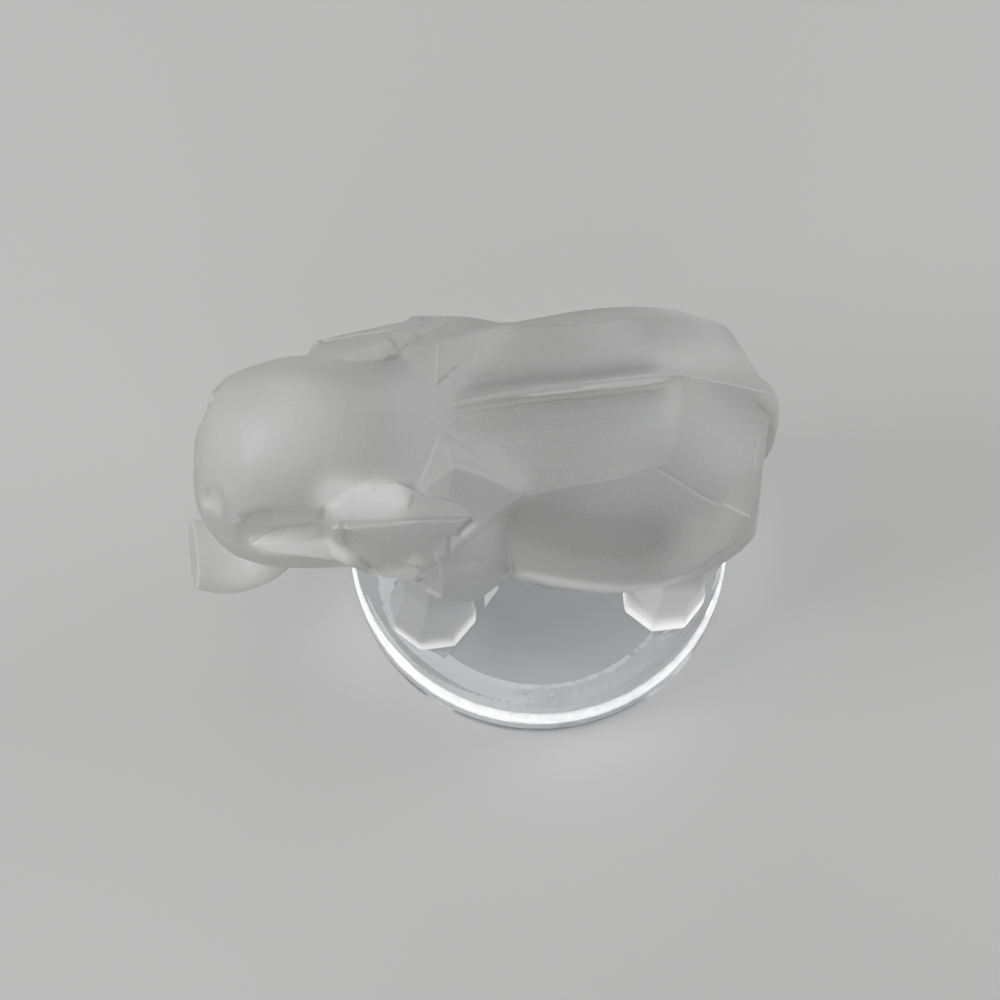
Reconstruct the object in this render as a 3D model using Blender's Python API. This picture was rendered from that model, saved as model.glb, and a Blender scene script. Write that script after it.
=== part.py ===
"""Glass elephant paperweight: a faceted standing elephant pressed in one piece with a thick round disc.

Metres, +Z up. The origin is the centre of the disc's flat underside and the elephant faces -X.
The disc is drawn at its real size. The elephant is a free form, drawn on a grid whose step is a share
of its own length, with heights counted from the top of the disc.
"""
import math

import bmesh
import bpy
from mathutils import Vector

# Driving dimensions
DISC_DIAMETER = 0.070
DISC_THICKNESS = 0.012
DISC_TOP_ROUND = 0.0022
DISC_FOOT_ROUND = 0.0010
FIGURE_LENGTH = 0.104
FOOT_BURY = 0.0020

# The figure's grid: 104 steps from the trunk's lip to the tail
STEP = FIGURE_LENGTH / 104.0

# How finely round forms are cut
DISC_SIDES = 72
EDGE_STEPS = 5
BACK_STEPS = 5
FLANK_STEPS = 7
TRUNK_RINGS = 22
TAIL_RINGS = 12
CREASE_ANGLE = math.radians(20)

# How nearly a face lies on a cut flat to be counted as part of it: turn, and gap in grid steps
FLAT_TILT = math.radians(0.5)
FLAT_GAP = 0.05


def point(x, y, h):
    """A place on the figure's grid, with h above the disc's top."""
    return Vector((x * STEP, y * STEP, DISC_THICKNESS + h * STEP))


def read_curve(stations, column, x):
    """A smooth curve through one column of the stations, read at x."""
    rows = sorted(stations)
    last = len(rows) - 1
    if x <= rows[0][0]:
        return rows[0][column]
    if x >= rows[last][0]:
        return rows[last][column]
    k = max(i for i in range(last) if rows[i][0] <= x)

    def slope(i):
        low, high = rows[max(i - 1, 0)], rows[min(i + 1, last)]
        return (high[column] - low[column]) / (high[0] - low[0])

    span = rows[k + 1][0] - rows[k][0]
    t = (x - rows[k][0]) / span
    start, end = rows[k][column], rows[k + 1][column]
    return (
        start * (1 + 2 * t) * (1 - t) ** 2
        + end * t * t * (3 - 2 * t)
        + slope(k) * span * t * (1 - t) ** 2
        - slope(k + 1) * span * t * t * (1 - t)
    )


def bend(start, pull, end, steps):
    """Points of a quadratic curve from start towards end, without the end itself."""
    points = []
    for k in range(steps):
        t = k / steps
        points.append([
            (1 - t) ** 2 * a + 2 * t * (1 - t) * b + t * t * c
            for a, b, c in zip(start, pull, end)
        ])
    return points


def mesh_object(name, bm):
    """Close the bmesh into a new object, its faces pointing out."""
    bmesh.ops.recalc_face_normals(bm, faces=bm.faces)
    mesh = bpy.data.meshes.new(name)
    bm.to_mesh(mesh)
    bm.free()
    piece = bpy.data.objects.new(name, mesh)
    bpy.context.scene.collection.objects.link(piece)
    return piece


def loft(name, rings):
    """A closed solid through rings of the same number of points, capped flat at both ends."""
    bm = bmesh.new()
    rows = [[bm.verts.new(p) for p in ring] for ring in rings]
    count = len(rows[0])
    for low, high in zip(rows, rows[1:]):
        for k in range(count):
            n = (k + 1) % count
            bm.faces.new((low[k], low[n], high[n], high[k]))
    bm.faces.new(rows[0])
    bm.faces.new(rows[-1])
    bmesh.ops.triangulate(bm, faces=bm.faces)
    return mesh_object(name, bm)


def block(name, points):
    """A faceted solid: the tightest convex form around its corner points."""
    bm = bmesh.new()
    for p in points:
        bm.verts.new(p)
    made = bmesh.ops.convex_hull(bm, input=bm.verts)
    spare = {g for key in ("geom_interior", "geom_unused") for g in made[key]}
    bmesh.ops.delete(bm, geom=[g for g in spare if isinstance(g, bmesh.types.BMVert)], context="VERTS")
    return mesh_object(name, bm)


def slice_off(piece, a, b, c, keep):
    """Cut a solid flat along the plane through a, b and c, and keep the side that holds the last point."""
    normal = (b - a).cross(c - a).normalized()
    if (keep - a).dot(normal) > 0:
        normal = -normal
    bm = bmesh.new()
    bm.from_mesh(piece.data)
    everything = bm.verts[:] + bm.edges[:] + bm.faces[:]
    bmesh.ops.bisect_plane(bm, geom=everything, plane_co=a, plane_no=normal, clear_outer=True)
    rim = [e for e in bm.edges if e.is_boundary]
    bmesh.ops.holes_fill(bm, edges=rim)
    bmesh.ops.triangulate(bm, faces=[f for f in bm.faces if len(f.verts) > 3])
    bmesh.ops.recalc_face_normals(bm, faces=bm.faces)
    bm.to_mesh(piece.data)
    bm.free()


def fuse(name, pieces):
    """One solid from pieces that overlap."""
    body = pieces[0]
    for other in pieces[1:]:
        join = body.modifiers.new("join", "BOOLEAN")
        join.operation = "UNION"
        join.solver = "EXACT"
        join.object = other
    graph = bpy.context.evaluated_depsgraph_get()
    mesh = bpy.data.meshes.new_from_object(body.evaluated_get(graph))
    for piece in pieces:
        bpy.data.objects.remove(piece)
    mesh.name = name
    whole = bpy.data.objects.new(name, mesh)
    bpy.context.scene.collection.objects.link(whole)
    return whole


def disc():
    """The round base: flat underside and top, with rounded rims."""
    radius = DISC_DIAMETER / 2
    profile = []
    for round_, middle, turn in (
        (DISC_FOOT_ROUND, DISC_FOOT_ROUND, -math.pi / 2),
        (DISC_TOP_ROUND, DISC_THICKNESS - DISC_TOP_ROUND, 0.0),
    ):
        for k in range(EDGE_STEPS + 1):
            angle = turn + k / EDGE_STEPS * math.pi / 2
            profile.append((radius - round_ + round_ * math.cos(angle), middle + round_ * math.sin(angle)))
    rings = []
    for r, z in profile:
        rings.append([
            Vector((r * math.cos(a), r * math.sin(a), z))
            for a in (2 * math.pi * k / DISC_SIDES for k in range(DISC_SIDES))
        ])
    return loft("disc", rings)


# Head, neck and barrel in one run, station by station along the spine. Each row gives x, the ridge's
# height, the pull of the curve beside the ridge (out, height), the shoulder line (out, height), the
# greatest half width, its height, the height underneath, and how full the underside is
BODY = [
    (-59.2, 50.0, 1.6, 49.8, 2.6, 49.0, 3.4, 46.0, 42.0, 0.90),
    (-58.5, 54.6, 3.8, 54.2, 5.4, 52.0, 6.8, 46.5, 38.0, 0.90),
    (-56.9, 59.4, 6.0, 59.0, 8.6, 55.0, 10.2, 47.0, 34.5, 0.90),
    (-54.6, 64.6, 7.6, 64.2, 11.1, 58.8, 12.8, 48.0, 30.0, 0.90),
    (-51.8, 68.8, 8.4, 68.4, 12.5, 61.3, 14.4, 49.0, 26.5, 0.85),
    (-47.6, 71.8, 8.6, 71.4, 13.1, 63.6, 15.6, 49.5, 23.0, 0.85),
    (-42.0, 73.4, 9.0, 73.0, 13.5, 64.6, 16.4, 49.5, 22.0, 0.85),
    (-36.0, 72.6, 8.6, 72.0, 13.2, 64.2, 16.4, 48.5, 22.0, 0.90),
    (-30.0, 70.6, 7.6, 70.0, 12.6, 63.2, 15.8, 46.5, 22.5, 0.95),
    (-24.0, 69.0, 6.0, 68.2, 12.4, 62.6, 15.8, 44.0, 22.0, 1.00),
    (-16.0, 68.8, 4.6, 67.6, 13.6, 63.4, 17.6, 41.5, 20.5, 1.00),
    (-5.0, 70.8, 3.8, 67.6, 15.1, 64.3, 21.0, 40.0, 19.0, 1.00),
    (8.0, 71.0, 3.6, 67.0, 14.2, 64.0, 24.2, 38.5, 18.0, 1.00),
    (17.8, 70.9, 3.6, 67.0, 13.5, 64.2, 24.2, 38.0, 18.5, 1.00),
    (22.0, 70.9, 5.0, 68.2, 15.0, 59.5, 24.2, 38.0, 19.2, 1.00),
    (26.0, 70.9, 6.6, 66.0, 16.2, 55.3, 23.7, 38.6, 20.0, 1.00),
    (30.0, 69.8, 7.0, 64.0, 17.2, 51.1, 21.9, 39.2, 21.5, 0.95),
    (34.0, 67.0, 8.0, 60.0, 17.7, 47.4, 19.2, 40.0, 24.5, 0.85),
    (37.0, 62.5, 8.0, 56.0, 14.2, 46.6, 15.0, 38.0, 27.5, 0.80),
    (39.4, 57.0, 5.0, 53.0, 8.0, 45.0, 10.0, 37.0, 31.0, 0.80),
]
BODY_PITCH = 3.0
FLANK_PULL = 0.50
BODY_MIDDLE = (-10.0, 0.0, 45.0)

# Flats cut on each side, through three places each: the rump, behind beside the tail, the eye, the haunch
PANELS = [
    ((23.0, 0.0, 71.0), (22.0, 15.0, 59.3), (30.0, 17.2, 50.9)),
    ((38.5, 0.0, 57.9), (34.7, 17.4, 45.6), (39.3, 0.0, 36.0)),
    ((-51.4, 12.5, 60.2), (-38.2, 14.5, 61.6), (-44.6, 13.0, 63.6)),
    ((17.5, 24.1, 37.0), (26.2, 22.3, 44.2), (33.0, 19.9, 41.0)),
]


def body_ring(x):
    """One section: a ridged back, a shoulder line, and a flank that rounds under to the belly."""
    ridge, pull_out, pull_up, line_out, line_up, wide, wide_up, belly, full = (
        read_curve(BODY, column, x) for column in range(1, 10)
    )
    line = (line_out, line_up)
    side = (wide, wide_up)
    half = bend((0.0, ridge), (pull_out, pull_up), line, BACK_STEPS)
    half += bend(line, (wide, wide_up + FLANK_PULL * (line_up - wide_up)), side, FLANK_STEPS)
    half += bend(side, (wide * full, belly), (0.0, belly), FLANK_STEPS)
    half.append((0.0, belly))
    ring = [point(x, y, h) for y, h in half]
    ring += [point(x, -y, h) for y, h in reversed(half[1:-1])]
    return ring


def stops(stations, pitch):
    """Every station's x, and even steps between them no longer than the pitch."""
    places = []
    for low, high in zip(stations, stations[1:]):
        count = math.ceil((high[0] - low[0]) / pitch)
        places += [low[0] + (high[0] - low[0]) * k / count for k in range(count)]
    return places + [stations[-1][0]]


def mirrored(place, side):
    """A grid point on the given side of the figure."""
    x, y, h = place
    return point(x, side * y, h)


def body():
    """Head and barrel, cut flat at each of the panels."""
    solid = loft("body", [body_ring(x) for x in stops(BODY, BODY_PITCH)])
    for side in (1, -1):
        for corners in PANELS:
            slice_off(solid, *(mirrored(place, side) for place in corners), point(*BODY_MIDDLE))
    return solid


# Trunk, along its middle: share of the way, x, height, half width, half thickness
TRUNK = [
    (0.00, -50.5, 50.0, 11.0, 8.8),
    (0.18, -52.6, 39.0, 9.4, 7.6),
    (0.35, -51.4, 28.0, 7.4, 6.0),
    (0.50, -48.4, 19.0, 6.0, 4.8),
    (0.62, -47.6, 11.4, 5.6, 4.0),
    (0.74, -51.4, 6.6, 6.2, 3.4),
    (0.87, -57.4, 6.4, 7.1, 2.9),
    (1.00, -63.2, 10.2, 6.9, 1.5),
]

# Tail, along its middle, in the same columns
TAIL = [
    (0.00, 34.5, 60.2, 1.2, 0.6),
    (0.16, 36.8, 57.8, 2.6, 1.3),
    (0.30, 38.1, 54.2, 4.0, 2.0),
    (0.50, 38.6, 48.5, 4.6, 1.9),
    (0.70, 38.8, 41.0, 4.1, 1.7),
    (0.86, 38.6, 33.0, 3.0, 1.5),
    (1.00, 37.2, 26.5, 1.6, 1.3),
]
TUBE_SIDES = 14
TUBE_NUDGE = 0.01


def tube(name, stations, rings_along):
    """A rounded run of flattened rings, square to the curve through its stations."""
    rings = []
    for k in range(rings_along):
        t = k / (rings_along - 1)
        x, h, wide, thick = (read_curve(stations, column, t) for column in range(1, 5))
        before, after = max(t - TUBE_NUDGE, 0), min(t + TUBE_NUDGE, 1)
        ahead = Vector((
            read_curve(stations, 1, after) - read_curve(stations, 1, before),
            0,
            read_curve(stations, 2, after) - read_curve(stations, 2, before),
        )).normalized()
        across = Vector((-ahead.z, 0, ahead.x))
        ring = []
        for n in range(TUBE_SIDES):
            a = 2 * math.pi * n / TUBE_SIDES
            offset = across * (thick * math.sin(a))
            ring.append(point(x + offset.x, wide * math.cos(a), h + offset.z))
        rings.append(ring)
    return loft(name, rings)


# Shoulder blade: the wedge beside the neck, the ridge down its side, and the elbow
SHOULDER = [
    (-16.1, 10.9, 69.8),
    (-17.1, 4.3, 67.9),
    (-4.6, 15.1, 64.3),
    (-23.2, 12.9, 62.6),
    (-11.0, 18.1, 62.3),
    (-20.0, 21.9, 56.3),
    (-8.0, 21.0, 40.0),
    (-19.2, 22.3, 45.6),
    (-13.5, 19.8, 24.6),
    (-20.4, 20.4, 29.5),
    (-12.0, 5.0, 50.0),
    (-26.0, 5.0, 50.0),
    (-25.0, 12.0, 30.0),
    (-16.0, 8.0, 22.0),
]


def shoulder(side):
    """The shoulder blade: a wedge that peaks beside the neck and falls in flat panels to the elbow."""
    return block("shoulder", [mirrored(place, side) for place in SHOULDER])


# Legs: height, middle (x, out), half length, half width
FORELEG = [
    (0.0, -21.0, 12.5, 8.0, 7.8),
    (4.0, -21.0, 12.5, 8.2, 7.9),
    (8.0, -20.8, 12.4, 7.1, 7.1),
    (17.0, -20.0, 12.4, 6.9, 7.0),
    (27.0, -19.4, 12.4, 7.1, 7.4),
    (36.0, -17.5, 12.0, 8.0, 7.4),
]
HIND_LEG = [
    (0.0, 21.2, 13.8, 7.8, 8.0),
    (4.0, 21.2, 13.8, 7.9, 8.1),
    (8.0, 21.6, 13.6, 6.9, 7.1),
    (17.0, 22.8, 13.2, 8.2, 7.8),
    (25.0, 22.6, 13.0, 9.6, 8.4),
    (34.0, 21.0, 12.4, 11.0, 8.4),
]
LEG_SIDES = 8


def leg(stations, side):
    """A pillar leg of flat sides, splayed a little at the foot, which is sunk into the disc."""
    rings = []
    for h, x, out, long_, wide in stations:
        level = h if h > 0 else -FOOT_BURY / STEP
        ring = []
        for n in range(LEG_SIDES):
            a = 2 * math.pi * (n + 0.5) / LEG_SIDES
            ring.append(point(x + long_ * math.cos(a), side * (out + wide * math.sin(a)), level))
        rings.append(ring)
    return loft("leg", rings)


# Cheekbone: a ledge that runs from under the ear to the root of the trunk
CHEEK = [
    (-35.5, 14.6, 60.5),
    (-40.3, 15.3, 57.2),
    (-45.0, 15.2, 54.8),
    (-50.4, 14.0, 54.4),
    (-37.2, 17.8, 49.3),
    (-39.5, 17.6, 51.1),
    (-42.8, 17.1, 52.1),
    (-47.6, 16.0, 52.3),
    (-50.8, 14.8, 53.3),
    (-38.0, 15.4, 46.0),
    (-46.5, 14.8, 49.0),
]


def cheek(side):
    """The cheekbone's ledge, with a lit top and a drawn-in underside."""
    return block("cheek", [mirrored(place, side) for place in CHEEK])


# Ear: its outer corners, from the front of the rim round to the front again
EAR = [
    (-36.5, 16.7, 62.3),
    (-14.2, 17.7, 62.6),
    (-17.0, 19.4, 59.8),
    (-17.6, 21.2, 57.0),
    (-22.2, 22.2, 52.6),
    (-24.7, 22.2, 47.4),
    (-30.5, 21.2, 48.4),
    (-34.6, 19.6, 50.6),
    (-37.2, 17.8, 50.0),
]
EAR_ROOT = [
    (-38.4, 13.8, 63.6),
    (-34.5, 11.2, 66.0),
    (-25.5, 11.0, 65.4),
]
EAR_THICKNESS = 4.5


def ear(side):
    """An ear: a thick plate that hangs from its rim, with a flat shelf from the rim to the head."""
    corners = EAR + EAR_ROOT
    corners += [(x, y - EAR_THICKNESS, h) for x, y, h in EAR[2:]]
    return block("ear", [mirrored(place, side) for place in corners])


def crisp_borders(mesh):
    """Keep the border of each cut flat crisp, and every other edge over the crease angle."""
    mesh.set_sharp_from_angle(angle=CREASE_ANGLE)
    flats = []
    for a, b, c in PANELS:
        for side in (1, -1):
            start, middle, end = (mirrored(place, side) for place in (a, b, c))
            flats.append((start, (middle - start).cross(end - start).normalized()))

    def on_flat(face):
        return any(
            abs(face.normal.dot(normal)) > math.cos(FLAT_TILT)
            and abs((face.calc_center_median() - start).dot(normal)) < FLAT_GAP * STEP
            for start, normal in flats
        )

    bm = bmesh.new()
    bm.from_mesh(mesh)
    cut = {face.index for face in bm.faces if on_flat(face)}
    for edge in bm.edges:
        if len({face.index in cut for face in edge.link_faces}) == 2:
            edge.smooth = False
    bm.to_mesh(mesh)
    bm.free()


def glass():
    """Pressed glass with a satin surface."""
    material = bpy.data.materials.new("glass")
    material.use_nodes = True
    shader = material.node_tree.nodes["Principled BSDF"]
    shader.inputs["Base Color"].default_value = (0.86, 0.88, 0.90, 1)
    shader.inputs["Roughness"].default_value = 0.45
    shader.inputs["Metallic"].default_value = 0.0
    shader.inputs["Transmission Weight"].default_value = 0.6
    return material


def main():
    for old in list(bpy.data.objects):
        bpy.data.objects.remove(old)
    pieces = [
        disc(),
        body(),
        tube("trunk", TRUNK, TRUNK_RINGS),
        tube("tail", TAIL, TAIL_RINGS),
    ]
    for side in (1, -1):
        pieces += [shoulder(side), leg(FORELEG, side), leg(HIND_LEG, side), cheek(side), ear(side)]
    whole = fuse("elephant_paperweight", pieces)
    whole.data.materials.clear()
    whole.data.materials.append(glass())
    whole.data.shade_smooth()
    crisp_borders(whole.data)


main()
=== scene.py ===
"""The looks of a glass elephant paperweight: satin glass figure on a thick, clear, polished glass disc."""
import math

import bmesh
import bpy
import numpy as np
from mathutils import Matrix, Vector
from mathutils.bvhtree import BVHTree
from mathutils.kdtree import KDTree


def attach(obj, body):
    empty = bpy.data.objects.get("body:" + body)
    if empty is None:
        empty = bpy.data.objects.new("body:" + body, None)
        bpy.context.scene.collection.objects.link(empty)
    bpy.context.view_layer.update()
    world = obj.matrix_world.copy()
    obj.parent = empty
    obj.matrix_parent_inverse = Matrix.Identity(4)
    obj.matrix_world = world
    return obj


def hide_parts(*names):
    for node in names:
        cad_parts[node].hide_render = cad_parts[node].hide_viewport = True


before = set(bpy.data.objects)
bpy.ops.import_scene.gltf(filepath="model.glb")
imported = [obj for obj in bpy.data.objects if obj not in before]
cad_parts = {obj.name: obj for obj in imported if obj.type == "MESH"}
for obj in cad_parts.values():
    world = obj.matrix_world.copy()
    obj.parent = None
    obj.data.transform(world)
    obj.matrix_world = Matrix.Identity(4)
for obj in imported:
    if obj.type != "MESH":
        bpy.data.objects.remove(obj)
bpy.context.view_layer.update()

# The figure is pressed glass, etched to a satin all over. Its solid is cut free just above the disc and
# remeshed finely, to take the small facets and scored lines that the mould and the cutter left in it.
MM = 1000.0
DISC_TOP = 0.012
WELD = 1e-6
FOOT_CUT = 0.0003
FOOT_SINK = 0.0015
FIGURE_VOXEL = 0.00027
SMOOTHING = 0.5
SOFT_PASSES = 3
FIGURE_TRIANGLES = 180000

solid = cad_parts["elephant_paperweight"]
bm = bmesh.new()
bm.from_mesh(solid.data)
bmesh.ops.remove_doubles(bm, verts=bm.verts, dist=WELD)
bmesh.ops.bisect_plane(
    bm,
    geom=bm.verts[:] + bm.edges[:] + bm.faces[:],
    plane_co=(0, 0, DISC_TOP + FOOT_CUT),
    plane_no=(0, 0, 1),
    clear_inner=True,
)
soles = bmesh.ops.holes_fill(bm, edges=[e for e in bm.edges if e.is_boundary])["faces"]
sunk = bmesh.ops.extrude_face_region(bm, geom=soles)["geom"]
bmesh.ops.translate(
    bm,
    verts=[v for v in sunk if isinstance(v, bmesh.types.BMVert)],
    vec=(0, 0, -FOOT_CUT - FOOT_SINK),
)
bmesh.ops.delete(bm, geom=[f for f in soles if f.is_valid], context="FACES_ONLY")
bmesh.ops.recalc_face_normals(bm, faces=bm.faces)

# Some of the solid's edges are crisp arrises of the glass, and the rest only step round a rounded form.
# An edge is crisp where it turns sharply, or where it bounds one of the broad cut flats.
LEVEL_TURN = math.radians(0.5)
FLAT_EDGE_TURN = math.radians(5)
CRISP_TURN = math.radians(17)
ROUND_TURN = math.radians(40)
BROAD_FLAT = 28e-6
MARK_PITCH = 0.0003


def rounded_part(place):
    """True on the parts that are round in the glass: brow, jaw, trunk, tail and belly."""
    x, out, up = place.x * MM, abs(place.y) * MM, (place.z - DISC_TOP) * MM
    on_cheek = -51 < x < -35 and out > 13 and 46 < up < 61
    on_head = x < -36 and not on_cheek
    on_tail = x > 35.5 and out < 5.5
    on_belly = -14 < x < 34 and 15 < up < 34 and out < 21
    return on_head or on_tail or on_belly


bm.faces.ensure_lookup_table()
flat_of = {}
flat_area = []
for seed in bm.faces:
    if seed in flat_of:
        continue
    flat_of[seed] = len(flat_area)
    flat_area.append(0.0)
    waiting = [seed]
    while waiting:
        face = waiting.pop()
        flat_area[-1] += face.calc_area()
        for edge in face.edges:
            if edge.calc_face_angle(1.0) < LEVEL_TURN:
                for other in edge.link_faces:
                    if other not in flat_of:
                        flat_of[other] = len(flat_area) - 1
                        waiting.append(other)
crisp_places = []
for edge in bm.edges:
    turn = edge.calc_face_angle(0.0)
    middle = (edge.verts[0].co + edge.verts[1].co) / 2
    broad = any(flat_area[flat_of[face]] > BROAD_FLAT for face in edge.link_faces)
    least = ROUND_TURN if rounded_part(middle) else CRISP_TURN
    if turn > least or (broad and turn > FLAT_EDGE_TURN):
        steps = max(1, int(edge.calc_length() / MARK_PITCH))
        for k in range(steps + 1):
            crisp_places.append(edge.verts[0].co.lerp(edge.verts[1].co, k / steps))
figure_mesh = bpy.data.meshes.new("figure")
bm.to_mesh(figure_mesh)
bm.free()
figure = bpy.data.objects.new("figure", figure_mesh)
bpy.context.scene.collection.objects.link(figure)


def set_in_mesh(piece):
    """Turn a piece's modifiers into its own plain mesh."""
    graph = bpy.context.evaluated_depsgraph_get()
    mesh = bpy.data.meshes.new_from_object(piece.evaluated_get(graph))
    piece.modifiers.clear()
    piece.data = mesh


remesh = figure.modifiers.new("fine skin", "REMESH")
remesh.mode = "VOXEL"
remesh.voxel_size = FIGURE_VOXEL
soften = figure.modifiers.new("soft press edges", "SMOOTH")
soften.factor = SMOOTHING
soften.iterations = SOFT_PASSES
set_in_mesh(figure)

# The rounded parts are smoothed away from the crisp arrises, until no step of the solid is left in them.
CRISP_REACH = 0.0004
ROUND_REACH = 0.0016
ROUND_PASSES = 160
WEIGHT_LEVELS = 10

marks = KDTree(len(crisp_places))
for k, place in enumerate(crisp_places):
    marks.insert(place, k)
marks.balance()
levels = [[] for _ in range(WEIGHT_LEVELS + 1)]
for vertex in figure.data.vertices:
    gap = marks.find(vertex.co)[2]
    share = min(max((gap - CRISP_REACH) / (ROUND_REACH - CRISP_REACH), 0.0), 1.0)
    levels[round(share * WEIGHT_LEVELS)].append(vertex.index)
rounded = figure.vertex_groups.new(name="rounded")
for k, members in enumerate(levels):
    rounded.add(members, k / WEIGHT_LEVELS, "REPLACE")
round_off = figure.modifiers.new("rounded parts", "SMOOTH")
round_off.factor = SMOOTHING
round_off.iterations = ROUND_PASSES
round_off.vertex_group = "rounded"
set_in_mesh(figure)
figure.vertex_groups.clear()

# The cutter's work on the skin. Places are in millimetres: along the figure, out from its middle plane and
# up from the disc's top, and each cut is made on both sides at once.
count = len(figure.data.vertices)
flat = np.empty(count * 3)
figure.data.vertices.foreach_get("co", flat)
skin = flat.reshape(-1, 3) * MM
figure.data.vertex_normals.foreach_get("vector", flat)
outward = flat.reshape(-1, 3).copy()
side = np.where(skin[:, 1] < 0, -1.0, 1.0)
skin[:, 1] *= side
outward[:, 1] *= side
skin[:, 2] -= DISC_TOP * MM

REACH = 2.5
BEVEL = 0.16
MOST_SUNK = 1.6
LEAST_FACING = 0.2
SCORE_STEP = 0.5
FAR_AWAY = 1e9


def close_by(places, reach):
    """The skin's points in the box around some places."""
    low, high = places.min(axis=0) - reach, places.max(axis=0) + reach
    return np.flatnonzero(((skin > low) & (skin < high)).all(axis=1))


def edge_distance(spots, start, end):
    """How far each spot lies from a straight edge."""
    run = end - start
    share = np.clip((spots - start) @ run / max(run @ run, 1e-9), 0.0, 1.0)
    return np.linalg.norm(spots - start - share[:, None] * run, axis=1)


def press(outline, sinks):
    """Press a flat facet inside an outline, sunk by the given depth at each corner."""
    corners = np.array(outline, dtype=float)
    near = close_by(corners, REACH)
    middle = corners.mean(axis=0)
    axes = np.linalg.svd(corners - middle)[2]
    facing = outward[near[np.linalg.norm(skin[near] - middle, axis=1) < REACH]].mean(axis=0)
    if axes[2] @ facing < 0:
        axes[2] = -axes[2]
    local = (skin[near] - middle) @ axes.T
    kept = (np.abs(local[:, 2]) < REACH) & (outward[near] @ axes[2] > LEAST_FACING)
    near, local = near[kept], local[kept]
    flat_corners = (corners - middle) @ axes.T
    wanted = []
    for corner, sink in zip(flat_corners, sinks):
        gap = np.linalg.norm(local[:, :2] - corner[:2], axis=1)
        wanted.append(local[np.argmin(gap), 2] - sink)
    base = np.column_stack((flat_corners[:, :2], np.ones(len(corners))))
    slope = np.linalg.lstsq(base, np.array(wanted), rcond=None)[0]
    inside = np.zeros(len(near), dtype=bool)
    border = np.full(len(near), FAR_AWAY)
    x, y = local[:, 0], local[:, 1]
    for start, end in zip(flat_corners, np.roll(flat_corners, -1, axis=0)):
        rise = end[1] - start[1]
        if rise != 0:
            crossing = start[0] + (y - start[1]) / rise * (end[0] - start[0])
            inside ^= ((start[1] > y) != (end[1] > y)) & (x < crossing)
        border = np.minimum(border, edge_distance(local[:, :2], start[:2], end[:2]))
    depth = np.where(inside, border, -border)
    share = np.clip(depth / (2 * BEVEL) + 0.5, 0.0, 1.0)
    change = local[:, :2] @ slope[:2] + slope[2] - local[:, 2]
    change = np.clip(change, -MOST_SUNK, MOST_SUNK) * share
    skin[near] += change[:, None] * axes[2]


def score(path, depth, width):
    """Score a line along a path: a groove, or a raised edge where the depth is below nought."""
    corners = np.array(path, dtype=float)
    places = []
    for start, end in zip(corners, corners[1:]):
        steps = max(2, int(np.linalg.norm(end - start) / SCORE_STEP))
        places += [start + (end - start) * k / steps for k in range(steps)]
    places = np.array(places + [corners[-1]])
    near = close_by(places, REACH)
    for k, place in enumerate(places):
        nearest = near[np.argmin(np.linalg.norm(skin[near] - place, axis=1))]
        lift = (skin[nearest] - place) @ outward[nearest]
        places[k] = place + lift * outward[nearest]
    gap = np.full(len(near), FAR_AWAY)
    for start, end in zip(places, places[1:]):
        gap = np.minimum(gap, edge_distance(skin[near], start, end))
    dip = depth * np.exp(-(gap / width) ** 2)
    skin[near] -= dip[:, None] * outward[near]


# Soft hollows and ridges first: place by place, then depth and width
HOLLOWS = (
    ([(-12, 4.6, 68.0), (-2, 4.4, 68.8), (8, 4.2, 68.9), (18, 4.4, 68.8)], 0.50, 2.4),
    ([(-14, 0, 69.2), (-4, 0, 70.8), (8, 0, 71.2), (19, 0, 71.1), (22, 0, 71.1)], -0.45, 0.9),
    ([(-3.9, 15.3, 63.8), (-9.3, 17.5, 61.9), (-14.5, 19.7, 59.1), (-18.0, 21.3, 56.7)], -0.25, 1.0),
)
for path, depth, width in HOLLOWS:
    score(path, depth, width)

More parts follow.
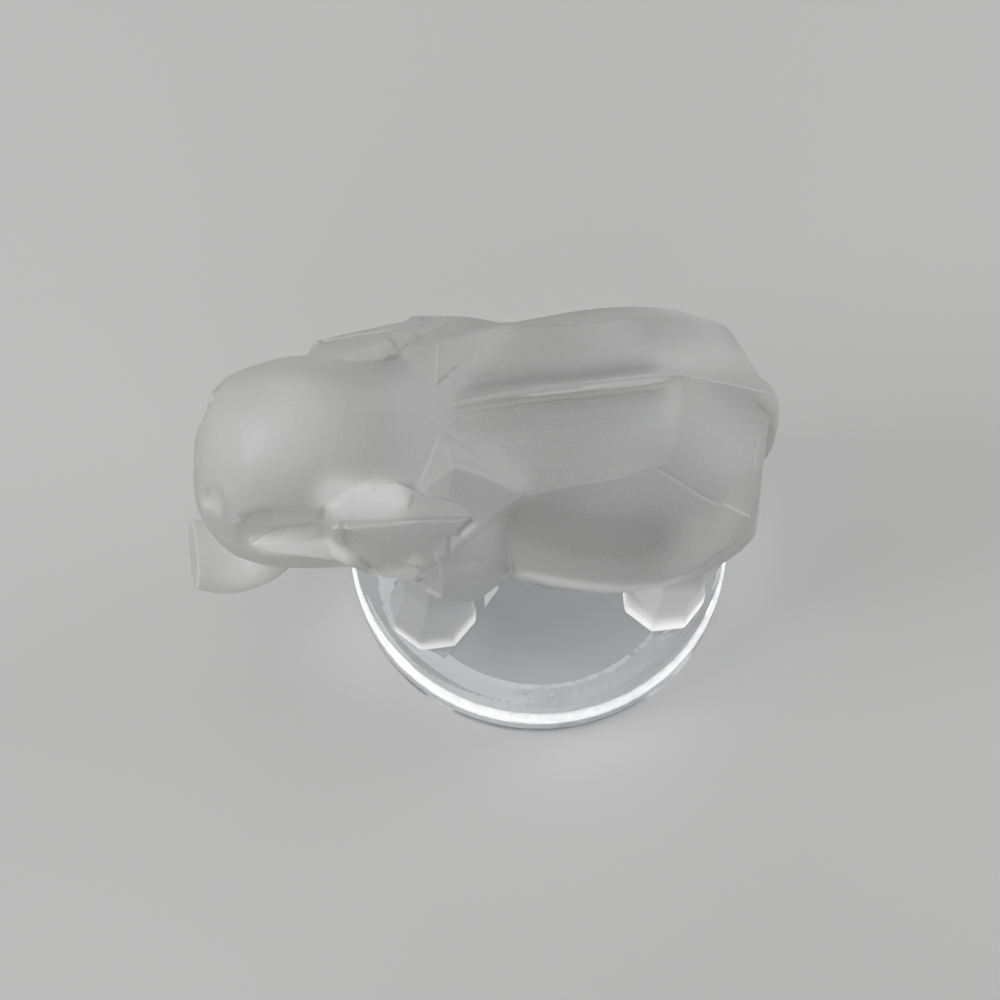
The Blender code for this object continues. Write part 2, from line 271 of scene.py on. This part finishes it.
# Flat facets: their outlines, and how deep each corner is sunk
FACETS = (
    # the eye, under its brow
    ([(-51.2, 12.7, 59.5), (-49.8, 12.4, 61.8), (-47.8, 12.6, 63.0), (-44.9, 13.0, 63.2),
      (-42.0, 13.6, 62.6),
      (-38.9, 14.6, 60.7), (-42.0, 14.3, 59.4), (-45.3, 13.9, 58.5), (-48.2, 13.4, 58.2),
      (-50.5, 13.1, 58.0)],
     (0.3, 0.7, 0.9, 0.9, 0.8, 0.4, 0.0, 0.0, 0.0, 0.0)),
    # the lower lid
    ([(-50.3, 14.6, 53.7), (-47.5, 14.1, 55.7), (-44.8, 14.1, 57.9), (-39.0, 14.7, 60.0),
      (-37.9, 15.5, 58.0),
      (-40.7, 15.9, 55.6), (-44.1, 15.7, 54.6), (-47.4, 15.2, 54.0)],
     (0.0, 0.55, 0.6, 0.3, 0.0, 0.0, 0.0, 0.0)),
    # the temple, a small notch in front of the ear
    ([(-38.2, 13.5, 63.9), (-36.8, 14.5, 63.6), (-36.0, 15.6, 63.1), (-35.8, 16.6, 62.4),
      (-37.4, 15.7, 60.4),
      (-38.3, 14.6, 61.0)], (0.9, 0.7, 0.5, 0.2, 0.0, 0.2)),
    # the leaf beside the root of the trunk
    ([(-54.9, 5.4, 62.8), (-56.7, 6.0, 58.1), (-57.7, 6.9, 53.6), (-57.2, 9.2, 50.4), (-55.9, 11.0, 51.5),
      (-54.6, 10.4, 59.7), (-53.8, 8.2, 63.1)], (0.1, 0.0, 0.0, 0.1, 0.4, 0.5, 0.4)),
    ([(-53.1, 9.5, 63.0), (-52.3, 11.2, 62.2), (-51.9, 12.6, 59.4), (-54.1, 11.8, 57.9),
      (-53.9, 10.5, 60.7)],
     (0.2, 0.3, 0.3, 0.0, 0.0)),
    # the lens behind the ear's rim
    ([(-23.1, 13.6, 64.5), (-20.8, 14.0, 64.2), (-18.4, 14.6, 64.5), (-16.0, 15.6, 64.3),
      (-14.6, 16.7, 63.3),
      (-14.2, 17.6, 62.3), (-16.6, 17.3, 62.8), (-20.7, 16.8, 62.9), (-23.3, 16.4, 63.1),
      (-24.1, 15.3, 63.7)],
     (0.5, 0.6, 0.6, 0.5, 0.3, 0.0, 0.0, 0.0, 0.0, 0.2)),
    # the narrow chamfer along the ear's rim
    ([(-35.6, 15.6, 63.0), (-32.1, 16.0, 62.9), (-29.2, 16.2, 62.9), (-22.3, 16.7, 62.9),
      (-16.6, 17.1, 62.9),
      (-14.2, 17.6, 62.3), (-16.7, 17.8, 62.3), (-22.4, 17.3, 62.5), (-29.3, 17.1, 62.2),
      (-35.1, 16.8, 62.3)],
     (0.0, 0.0, 0.0, 0.0, 0.0, 0.0, 0.35, 0.45, 0.5, 0.5)),
    # the ear's front corner, turned towards the face
    ([(-34.9, 17.1, 61.9), (-32.3, 17.7, 61.0), (-30.2, 18.6, 59.4), (-29.6, 20.0, 54.6),
      (-30.2, 21.2, 48.8),
      (-33.1, 19.1, 55.1), (-35.0, 18.2, 57.1)], (0.7, 0.4, 0.0, 0.0, 0.0, 0.5, 0.8)),
    # chips on the ear's hanging edge and where the shoulder meets the belly
    ([(-17.9, 19.4, 59.8), (-16.9, 19.5, 59.7), (-17.4, 20.5, 58.4), (-17.8, 21.2, 56.9),
      (-18.3, 21.1, 57.5)],
     (0.5, 0.0, 0.0, 0.3, 0.6)),
    ([(-11.0, 20.3, 49.4), (-8.2, 19.7, 47.3), (-7.4, 20.1, 44.5), (-7.2, 20.2, 38.4), (-8.6, 20.7, 43.0),
      (-10.0, 20.5, 46.5)], (0.0, 0.4, 0.6, 0.3, 0.2, 0.0)),
    # the notch between the ear and the foreleg
    ([(-23.9, 16.9, 30.1), (-22.8, 17.2, 33.9), (-19.9, 21.5, 44.0), (-20.1, 20.8, 32.7),
      (-22.3, 18.5, 29.9)],
     (0.6, 0.8, 0.4, 0.6, 0.6)),
)
for outline, sinks in FACETS:
    press(outline, sinks)

# Fine scored lines and raised arrises last
LINES = (
    ([(-4.2, 15.1, 64.3), (-1.6, 14.8, 64.4), (0.9, 14.5, 64.3), (7.6, 14.0, 64.1),
      (17.5, 13.5, 64.2)], 0.22, 0.26),
    ([(17.5, 13.5, 64.2), (20.9, 14.6, 60.5), (24.3, 16.0, 56.6), (27.8, 16.8, 53.1)], 0.26, 0.28),
    ([(27.8, 16.8, 53.1), (32.7, 17.9, 48.1)], -0.18, 0.30),
    ([(-16.3, 10.8, 69.6), (-11.9, 11.9, 67.6), (-7.3, 14.2, 65.5), (-4.1, 15.2, 64.0)], 0.16, 0.24),
    ([(-23.3, 13.6, 64.5), (-20.1, 11.8, 65.7), (-16.3, 10.8, 69.6)], 0.12, 0.24),
    ([(-57.7, 7.5, 52.6), (-57.2, 9.2, 50.4), (-56.1, 11.0, 49.5), (-53.6, 13.1, 52.5),
      (-51.6, 14.1, 52.1)], 0.30, 0.32),
    ([(-50.3, 14.6, 53.7), (-47.5, 14.1, 55.7), (-44.8, 14.1, 57.9)], 0.25, 0.25),
    ([(-33.6, 18.9, 55.3), (-32.0, 19.9, 52.6), (-30.2, 21.2, 48.5)], 0.40, 0.35),
    ([(-30.0, 18.7, 59.4), (-28.1, 19.8, 57.0), (-26.0, 20.8, 55.0)], 0.15, 0.40),
    ([(-15.9, 19.2, 60.2), (-14.3, 18.3, 61.5)], 0.80, 0.55),
    ([(-22.9, 17.0, 34.0), (-21.5, 18.6, 37.2), (-19.8, 21.6, 44.4)], -0.35, 0.30),
    ([(-24.7, 16.2, 28.9), (-22.6, 18.2, 29.7), (-20.4, 20.4, 31.2)], -0.35, 0.30),
    ([(13.9, 24.2, 39.7), (16.4, 23.9, 42.2), (18.0, 23.6, 44.2), (19.7, 22.8, 47.1)], 0.18, 0.40),
    ([(30.4, 21.0, 43.9), (27.8, 21.6, 42.5), (24.8, 21.8, 36.3), (21.3, 22.7, 34.7)], 0.25, 0.40),
    ([(33.7, 12.6, 51.7), (34.6, 9.1, 53.9), (35.3, 6.9, 55.1)], -0.20, 0.35),
)
for path, depth, width in LINES:
    score(path, depth, width)

# A rash of small chips where the far edge of the ear's shelf meets the neck
CHIP_COUNT = 70
CHIP_SCATTER = 0.45
CHIP_REACH = 1.0
CHIP_SIZES = (0.22, 0.45)
CHIP_DIPS = (-0.30, 0.22)
CHIP_SEED = 11
CHIP_RUN = np.array([(-31.0, 11.5, 65.6), (-25.9, 10.8, 64.4), (-22.4, 12.6, 64.0)])
draw = np.random.default_rng(CHIP_SEED)
for _ in range(CHIP_COUNT):
    along = draw.uniform(0, 2)
    start = CHIP_RUN[int(along)]
    place = start + (CHIP_RUN[int(along) + 1] - start) * (along % 1)
    place = place + draw.normal(0, CHIP_SCATTER, 3)
    near = close_by(place[None], CHIP_REACH)
    if len(near):
        gap = np.linalg.norm(skin[near] - place, axis=1)
        size = draw.uniform(*CHIP_SIZES)
        dip = draw.uniform(*CHIP_DIPS) * np.exp(-(gap / size) ** 2)
        skin[near] -= dip[:, None] * outward[near]

skin[:, 2] += DISC_TOP * MM
skin[:, 1] *= side
figure.data.vertices.foreach_set("co", (skin / MM).ravel())
figure.data.update()

thin = figure.modifiers.new("spare flat faces", "DECIMATE")
thin.ratio = FIGURE_TRIANGLES / (2 * len(figure.data.polygons))
set_in_mesh(figure)

# The disc is a thick turned round of the same glass, fire-polished. A band round the upper half of its
# wall is left satin, and it stands on a ground ring. Its profile is turned round from the middle outwards.
DISC_RADIUS = 0.035
RIM_ROUND = 0.0022
FOOT_ROUND = 0.0010
DISC_SIDES = 240
RIM_STEPS = 10
BAND_BOTTOM = 0.0068
BAND_TOP = 0.0114
GROUND_INNER = 0.0266
GROUND_OUTER = 0.0306
RING_MARGIN = 0.001

profile = [(0.0, 0.0), (GROUND_INNER - 2 * RING_MARGIN, 0.0), (GROUND_OUTER + RING_MARGIN, 0.0)]
for round_, height, turn in (
    (FOOT_ROUND, FOOT_ROUND, -math.pi / 2),
    (RIM_ROUND, DISC_TOP - RIM_ROUND, 0.0),
):
    for k in range(RIM_STEPS + 1):
        angle = turn + k / RIM_STEPS * math.pi / 2
        profile.append((
            DISC_RADIUS - round_ + round_ * math.cos(angle),
            height + round_ * math.sin(angle),
        ))
profile.append((0.0, DISC_TOP))
bm = bmesh.new()
line = [bm.verts.new((r, 0, z)) for r, z in profile]
for low, high in zip(line, line[1:]):
    bm.edges.new((low, high))
bmesh.ops.spin(
    bm,
    geom=bm.verts[:] + bm.edges[:],
    cent=(0, 0, 0),
    axis=(0, 0, 1),
    angle=2 * math.pi,
    steps=DISC_SIDES,
)
bmesh.ops.remove_doubles(bm, verts=bm.verts, dist=WELD / 10)
bmesh.ops.recalc_face_normals(bm, faces=bm.faces)
disc_mesh = bpy.data.meshes.new("disc")
bm.to_mesh(disc_mesh)
bm.free()
disc = bpy.data.objects.new("disc", disc_mesh)
bpy.context.scene.collection.objects.link(disc)

# Figure and disc leave the mould as one piece of glass, so their meshes are fused into one closed skin.
fused = disc.modifiers.new("one piece of glass", "BOOLEAN")
fused.operation = "UNION"
fused.solver = "EXACT"
fused.object = figure
set_in_mesh(disc)
bpy.data.objects.remove(figure)
paperweight = disc
paperweight.name = "pressed_glass"


def finish(name, **values):
    """A new material with its node tree and its shader, whose plain values are set by socket."""
    material = bpy.data.materials.new(name)
    material.use_nodes = True
    shader = material.node_tree.nodes["Principled BSDF"]
    for socket, value in values.items():
        shader.inputs[socket.replace("_", " ")].default_value = value
    return material, material.node_tree, shader


def add_node(tree, kind, **settings):
    """A node of the given kind, with its properties or its plain inputs set by name."""
    made = tree.nodes.new(kind)
    for name, value in settings.items():
        if name in made.inputs:
            made.inputs[name].default_value = value
        else:
            setattr(made, name, value)
    return made


NOISE = "ShaderNodeTexNoise"


def texture_on(tree, place, kind, **settings):
    """A texture that reads the given place."""
    texture = add_node(tree, kind, **settings)
    tree.links.new(place, texture.inputs["Vector"])
    return texture


def spread_out(tree, value, source, target):
    """A value taken from one range to another."""
    node = add_node(tree, "ShaderNodeMapRange")
    for socket, number in zip(("From Min", "From Max", "To Min", "To Max"), (*source, *target)):
        node.inputs[socket].default_value = number
    tree.links.new(value, node.inputs["Value"])
    return node.outputs["Result"]


def combine(tree, operation, first, second, **settings):
    """Two values put together by a sum or a product."""
    node = add_node(tree, "ShaderNodeMath", operation=operation, **settings)
    tree.links.new(first, node.inputs[0])
    tree.links.new(second, node.inputs[1])
    return node.outputs["Value"]


def measured(tree, place, along):
    """How far a place is from the origin, counting only the given directions."""
    kept = add_node(tree, "ShaderNodeVectorMath", operation="MULTIPLY")
    kept.inputs[1].default_value = along
    tree.links.new(place, kept.inputs[0])
    length = add_node(tree, "ShaderNodeVectorMath", operation="LENGTH")
    tree.links.new(kept.outputs["Vector"], length.inputs[0])
    return length.outputs["Value"]


def roughen(tree, shader, height, distance, strength):
    """A bump on the shader. Its strength is a number, or a socket where it varies."""
    bump = add_node(tree, "ShaderNodeBump", Distance=distance)
    if isinstance(strength, float):
        bump.inputs["Strength"].default_value = strength
    else:
        tree.links.new(strength, bump.inputs["Strength"])
    tree.links.new(height, bump.inputs["Height"])
    tree.links.new(bump.outputs["Normal"], shader.inputs["Normal"])


# Satin: whiter and milkier where the painted light (with some uneven etch) is high, cloudy inside, with a
# fine acid-etched grain
FINE_RELIEF = 0.00008
satin, tree, shader = finish("satin_glass", IOR=1.5)
place = add_node(tree, "ShaderNodeTexCoord").outputs["Object"]
# The attribute read here holds painted light and painted shade, partly standing for an uneven etch
etch_and_painted_light = add_node(tree, "ShaderNodeAttribute", attribute_name="etch_and_painted_light").outputs["Fac"]
cloud = texture_on(tree, place, NOISE, Scale=55.0, Detail=3.0, Roughness=0.5).outputs["Fac"]
grain = texture_on(tree, place, NOISE, Scale=2600.0, Detail=3.0, Roughness=0.65).outputs["Fac"]
dust = texture_on(tree, place, "ShaderNodeTexVoronoi", Scale=420.0).outputs["Distance"]
clouded = combine(tree, "ADD", etch_and_painted_light, spread_out(tree, cloud, (0.25, 0.75), (-0.035, 0.035)))
level = combine(tree, "ADD", clouded, spread_out(tree, grain, (0.3, 0.7), (-0.09, 0.09)))
tint = add_node(tree, "ShaderNodeValToRGB")
tint.color_ramp.elements[0].color = (0.38, 0.38, 0.373, 1)
tint.color_ramp.elements[1].color = (1.0, 0.995, 0.985, 1)
tree.links.new(level, tint.inputs["Fac"])
tree.links.new(tint.outputs["Color"], shader.inputs["Base Color"])
tree.links.new(spread_out(tree, cloud, (0.3, 0.7), (0.36, 0.46)), shader.inputs["Roughness"])
# Transmission falls where the painted light is high, so those places are painted whiter and milkier
tree.links.new(spread_out(tree, etch_and_painted_light, (0.35, 1.0), (0.64, 0.25)), shader.inputs["Transmission Weight"])
specks = spread_out(tree, dust, (0.0, 0.09), (0.5, 0.0))
roughen(tree, shader, combine(tree, "ADD", grain, specks), FINE_RELIEF, 0.45)

# Polished: clear, with the faint waves that a fire polish leaves, strongest round the rim
CLEAR_TINT = (0.96, 0.98, 0.985, 1)
DISC_IOR = 1.52
clear, tree, shader = finish(
    "polished_glass",
    Base_Color=CLEAR_TINT,
    Roughness=0.0,
    IOR=DISC_IOR,
    Transmission_Weight=1.0,
)
place = add_node(tree, "ShaderNodeTexCoord").outputs["Object"]
waves = texture_on(tree, place, NOISE, Scale=260.0, Detail=2.0).outputs["Fac"]
at_rim = spread_out(tree, measured(tree, place, (1, 1, 0)), (0.0325, 0.0338), (0.03, 0.6))
roughen(tree, shader, waves, 0.0002, at_rim)

# The head's side of the disc, where a painted glare whitens the matt zones
HEADWARD = (-0.85, -0.53, 0)
HEADWARD_RANGE = (0.016, 0.026)
MATT_TINT = (0.97, 0.98, 0.985, 1)


def matt_zone(name, along, bounds, tones, tint, ragged, painted_glare):
    """Clear glass with a matt zone between two bounds, ragged at its borders.

    The tones say how matt it is at places across the zone, and a painted glare adds to that towards the
    head.
    """
    material, tree, shader = finish(name, IOR=DISC_IOR)
    place = add_node(tree, "ShaderNodeTexCoord").outputs["Object"]
    grit = texture_on(tree, place, NOISE, Scale=1500.0, Detail=4.0, Roughness=0.65).outputs["Fac"]
    patches = texture_on(tree, place, NOISE, Scale=420.0, Detail=4.0, Roughness=0.7).outputs["Fac"]
    shift = add_node(tree, "ShaderNodeMath", operation="MULTIPLY_ADD")
    shift.inputs[1].default_value = ragged
    tree.links.new(grit, shift.inputs[0])
    tree.links.new(measured(tree, place, along), shift.inputs[2])
    across = spread_out(tree, shift.outputs["Value"], [bound + ragged / 2 for bound in bounds], (0.0, 1.0))
    zone = add_node(tree, "ShaderNodeValToRGB")
    ramp = zone.color_ramp
    while len(ramp.elements) < len(tones):
        ramp.elements.new(1.0)
    for element, (spot, level) in zip(ramp.elements, tones):
        element.position = spot
        element.color = (level, level, level, 1)
    tree.links.new(across, zone.inputs["Fac"])
    # Painted glare: the zone is made more matt and whiter towards the head
    headward = add_node(tree, "ShaderNodeVectorMath", operation="DOT_PRODUCT")
    headward.inputs[1].default_value = HEADWARD
    tree.links.new(place, headward.inputs[0])
    glare_towards_head = spread_out(tree, headward.outputs["Value"], HEADWARD_RANGE, (0.0, painted_glare))
    wear_and_painted_glare = combine(tree, "ADD", spread_out(tree, patches, (0.35, 0.65), (0.30, 1.0)), glare_towards_head)
    matt = combine(tree, "MULTIPLY", zone.outputs["Color"], wear_and_painted_glare, use_clamp=True)
    for socket, target in (("Transmission Weight", (1.0, 0.05)), ("Roughness", (0.0, 0.55))):
        tree.links.new(spread_out(tree, matt, (0.0, 1.0), target), shader.inputs[socket])
    paint = add_node(tree, "ShaderNodeMix", data_type="RGBA")
    from_tint, to_tint = (socket for socket in paint.inputs if socket.type == "RGBA")
    from_tint.default_value = tint
    to_tint.default_value = MATT_TINT
    painted = next(socket for socket in paint.outputs if socket.type == "RGBA")
    tree.links.new(matt, paint.inputs["Factor"])
    tree.links.new(painted, shader.inputs["Base Color"])
    roughen(tree, shader, grit, FINE_RELIEF, matt)
    return material


# Ground: the ring that the disc stands on, rubbed matt and whitest along its inner lip. It is made whiter
# towards the head as painted glare, to come nearer to the photograph's glare on that side.
foot = matt_zone(
    "ground_foot",
    along=(1, 1, 0),
    bounds=(GROUND_INNER, GROUND_OUTER),
    tones=((0.0, 0.06), (0.03, 0.9), (0.18, 0.8), (0.28, 0.36), (0.93, 0.32), (1.0, 0.0)),
    tint=CLEAR_TINT,
    ragged=0.0007,
    painted_glare=2.0,
)

# Satin band: the upper half of the disc's wall, as it left the mould. Below the band the clear glass is
# tinted a darker blue-grey as painted shade, and a little painted glare whitens the wall towards the head.
wall = matt_zone(
    "satin_wall",
    along=(0, 0, 1),
    bounds=(BAND_BOTTOM, BAND_TOP),
    tones=((0.0, 0.0), (0.08, 0.35), (0.5, 0.65), (0.92, 0.45), (1.0, 0.0)),
    tint=(0.56, 0.585, 0.65, 1),
    ragged=0.0006,
    painted_glare=0.3,
)

mesh = paperweight.data
mesh.materials.clear()
SATIN, CLEAR, FOOT, WALL = range(4)
for material in (satin, clear, foot, wall):
    mesh.materials.append(material)
HEIGHT_SLACK = 0.00004
for face in mesh.polygons:
    x, y, z = face.center
    if z > DISC_TOP + HEIGHT_SLACK:
        face.material_index = SATIN
    elif z < HEIGHT_SLACK:
        face.material_index = FOOT
    elif math.hypot(x, y) > DISC_RADIUS - RIM_ROUND and z < BAND_TOP:
        face.material_index = WALL
    else:
        face.material_index = CLEAR
mesh.shade_smooth()

# How much light is painted on each place: first the thinner the glass behind it, the more, painted light
# for light shining through thin glass
THIN = 0.004
THICK = 0.016
THIN_GLOW = 0.50
GLOW_BASE = 0.25
INWARD_START = 0.0004
tree_of_skin = BVHTree.FromPolygons(
    [v.co for v in mesh.vertices],
    [face.vertices[:] for face in mesh.polygons],
)
depths = []
for vertex in mesh.vertices:
    inward = -vertex.normal
    depths.append(tree_of_skin.ray_cast(vertex.co + inward * INWARD_START, inward)[3] or THICK)
etch_and_painted_light = np.clip((THICK - np.array(depths)) / (THICK - THIN), 0.0, 1.0) * THIN_GLOW

# Then place by place, set against the photograph's tones: painted highlights on the ledges and the brow,
# painted shade below the hip and beside the keel, and each side painted lighter or darker for how the light
# falls on it. Part of it stands for an uneven etch; the rest is painted light and shade.
# Each row is a path, its reach, and how much painted light it adds on the near side and on the far side
# (painted shade where below nought).
PAINTED_LIGHT_AND_SHADE = (
    ([(-35.5, 12.2, 65.5), (-32.0, 13.2, 65.0), (-27.0, 13.6, 64.5)], 3.2, 1.00, 0.15),
    ([(-48.2, 15.3, 52.5), (-42.8, 16.2, 52.6), (-36.5, 17.5, 53.5)], 2.8, 1.20, 0.60),
    ([(-4.0, 21.3, 39.3), (2.1, 22.9, 38.2), (7.1, 23.9, 37.4), (14.1, 24.0, 35.2), (20.0, 22.8, 32.5)],
     2.6, 0.95, 0.95),
    ([(-15.0, 7.5, 68.2), (-10.0, 9.5, 67.0), (-5.5, 13.2, 65.0)], 2.2, 0.20, 0.20),
    ([(-57.7, 6.9, 53.6), (-56.2, 9.0, 57.0)], 1.6, 0.50, 0.50),
    ([(-52.0, 0.0, 66.0), (-42.0, 0.0, 73.0)], 12.0, 0.35, 0.35),
    ([(-4.0, 17.5, 58.0), (4.0, 20.5, 54.0), (14.0, 21.0, 52.0)], 5.5, -0.40, -0.40),
    ([(24.0, 4.0, 68.0), (33.0, 10.0, 56.0)], 6.0, 0.30, 0.35),
    ([(-10.0, 4.4, 68.8), (4.0, 4.2, 69.5), (17.0, 4.4, 69.0)], 2.0, -0.20, -0.60),
    ([(20.0, 20.0, 16.0), (26.0, 19.0, 1.0)], 8.0, 1.00, 0.60),
    ([(24.0, 20.2, 51.1), (22.3, 23.2, 44.8), (29.4, 18.6, 49.7)], 4.5, 0.30, 0.30),
    ([(-12.0, 19.5, 58.0), (-14.0, 21.0, 50.0)], 3.5, 0.35, 0.35),
)
places = np.empty(len(mesh.vertices) * 3)
mesh.vertices.foreach_get("co", places)
places = places.reshape(-1, 3) * MM
near_side = places[:, 1] < 0
places[:, 1] = np.abs(places[:, 1])
places[:, 2] -= DISC_TOP * MM
for path, reach, near_gain, far_gain in PAINTED_LIGHT_AND_SHADE:
    corners = np.array(path)
    gap = np.full(len(places), FAR_AWAY)
    for start, end in zip(corners, corners[1:]):
        gap = np.minimum(gap, edge_distance(places, start, end))
    etch_and_painted_light += np.where(near_side, near_gain, far_gain) * np.exp(-(gap / reach) ** 2)
etch_and_painted_light = np.clip(etch_and_painted_light + GLOW_BASE, 0.0, 1.0)
# Stored on the skin: painted light and painted shade, partly an uneven etch
mesh.attributes.new("etch_and_painted_light", "FLOAT", "POINT").data.foreach_set("value", etch_and_painted_light)
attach(paperweight, "root")
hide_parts("elephant_paperweight")

# A pale, matt tabletop, a hair below the disc so that the two faces don't coincide
FLOOR_SIDE = 6.0
FLOOR_DROP = 0.0002
bpy.ops.mesh.primitive_plane_add(size=FLOOR_SIDE, location=(0, 0, -FLOOR_DROP))
floor = bpy.context.object
floor.name = "floor"
floor_paint = finish("pale_floor", Base_Color=(0.50, 0.50, 0.494, 1), Roughness=0.8)[0]
floor.data.materials.append(floor_paint)

# Soft studio light: a key from the left with weaker lamps round it, and two low strips that shine into the
# disc and light nothing but the paperweight. Each row is a name, a place, a size, an aim and a power.
BODY_AIM = (0, 0, 0.04)
DISC_AIM = (0, 0, 0.006)
LIGHTS = (
    ("key", (-0.46, -0.03, 0.40), (0.28, 0.28), BODY_AIM, 3.1),
    ("overhead", (-0.22, 0.10, 0.66), (0.45, 0.45), BODY_AIM, 1.5),
    ("far fill", (-0.08, 0.45, 0.35), (0.32, 0.32), BODY_AIM, 0.8),
    ("right fill", (0.50, 0.10, 0.24), (0.28, 0.28), BODY_AIM, 2.7),
    ("near fill", (-0.10, -0.42, 0.50), (0.40, 0.40), BODY_AIM, 1.4),
    ("left strip", (-0.24, -0.10, 0.006), (0.16, 0.008), DISC_AIM, 0.42),
    ("right strip", (0.26, -0.06, 0.006), (0.16, 0.008), DISC_AIM, 0.40),
)
STRIP_SPREAD = math.radians(4)
strip_lit = bpy.data.collections.new("lit by the strips")
strip_lit.objects.link(paperweight)
for name, place, size, aim, power in LIGHTS:
    lamp = bpy.data.lights.new(name, "AREA")
    lamp.shape = "RECTANGLE"
    lamp.size, lamp.size_y = size
    lamp.energy = power
    holder = bpy.data.objects.new(name, lamp)
    holder.location = place
    holder.rotation_euler = (Vector(aim) - Vector(place)).to_track_quat("-Z", "Y").to_euler()
    if aim == DISC_AIM:
        lamp.spread = STRIP_SPREAD
        holder.light_linking.receiver_collection = strip_lit
    bpy.context.scene.collection.objects.link(holder)
world = bpy.data.worlds.new("surround")
world.use_nodes = True
surround = world.node_tree.nodes["Background"]
surround.inputs["Color"].default_value = (1, 1, 1, 1)
surround.inputs["Strength"].default_value = 0.01
bpy.context.scene.world = world

# The camera looks down at the near flank from a step away
AIM = Vector((-0.005792, 0.011811, 0.0))
BACK = Vector((-0.0405, -0.3396, 0.9397)).normalized()
DISTANCE = 0.560
camera = bpy.data.cameras.new("camera")
camera.lens = 105.85
camera.sensor_width = 36
camera.clip_start = 0.01
stand = bpy.data.objects.new("camera", camera)
stand.location = AIM + BACK * DISTANCE
stand.rotation_euler = (-BACK).to_track_quat("-Z", "Y").to_euler()
bpy.context.scene.collection.objects.link(stand)
bpy.context.scene.camera = stand
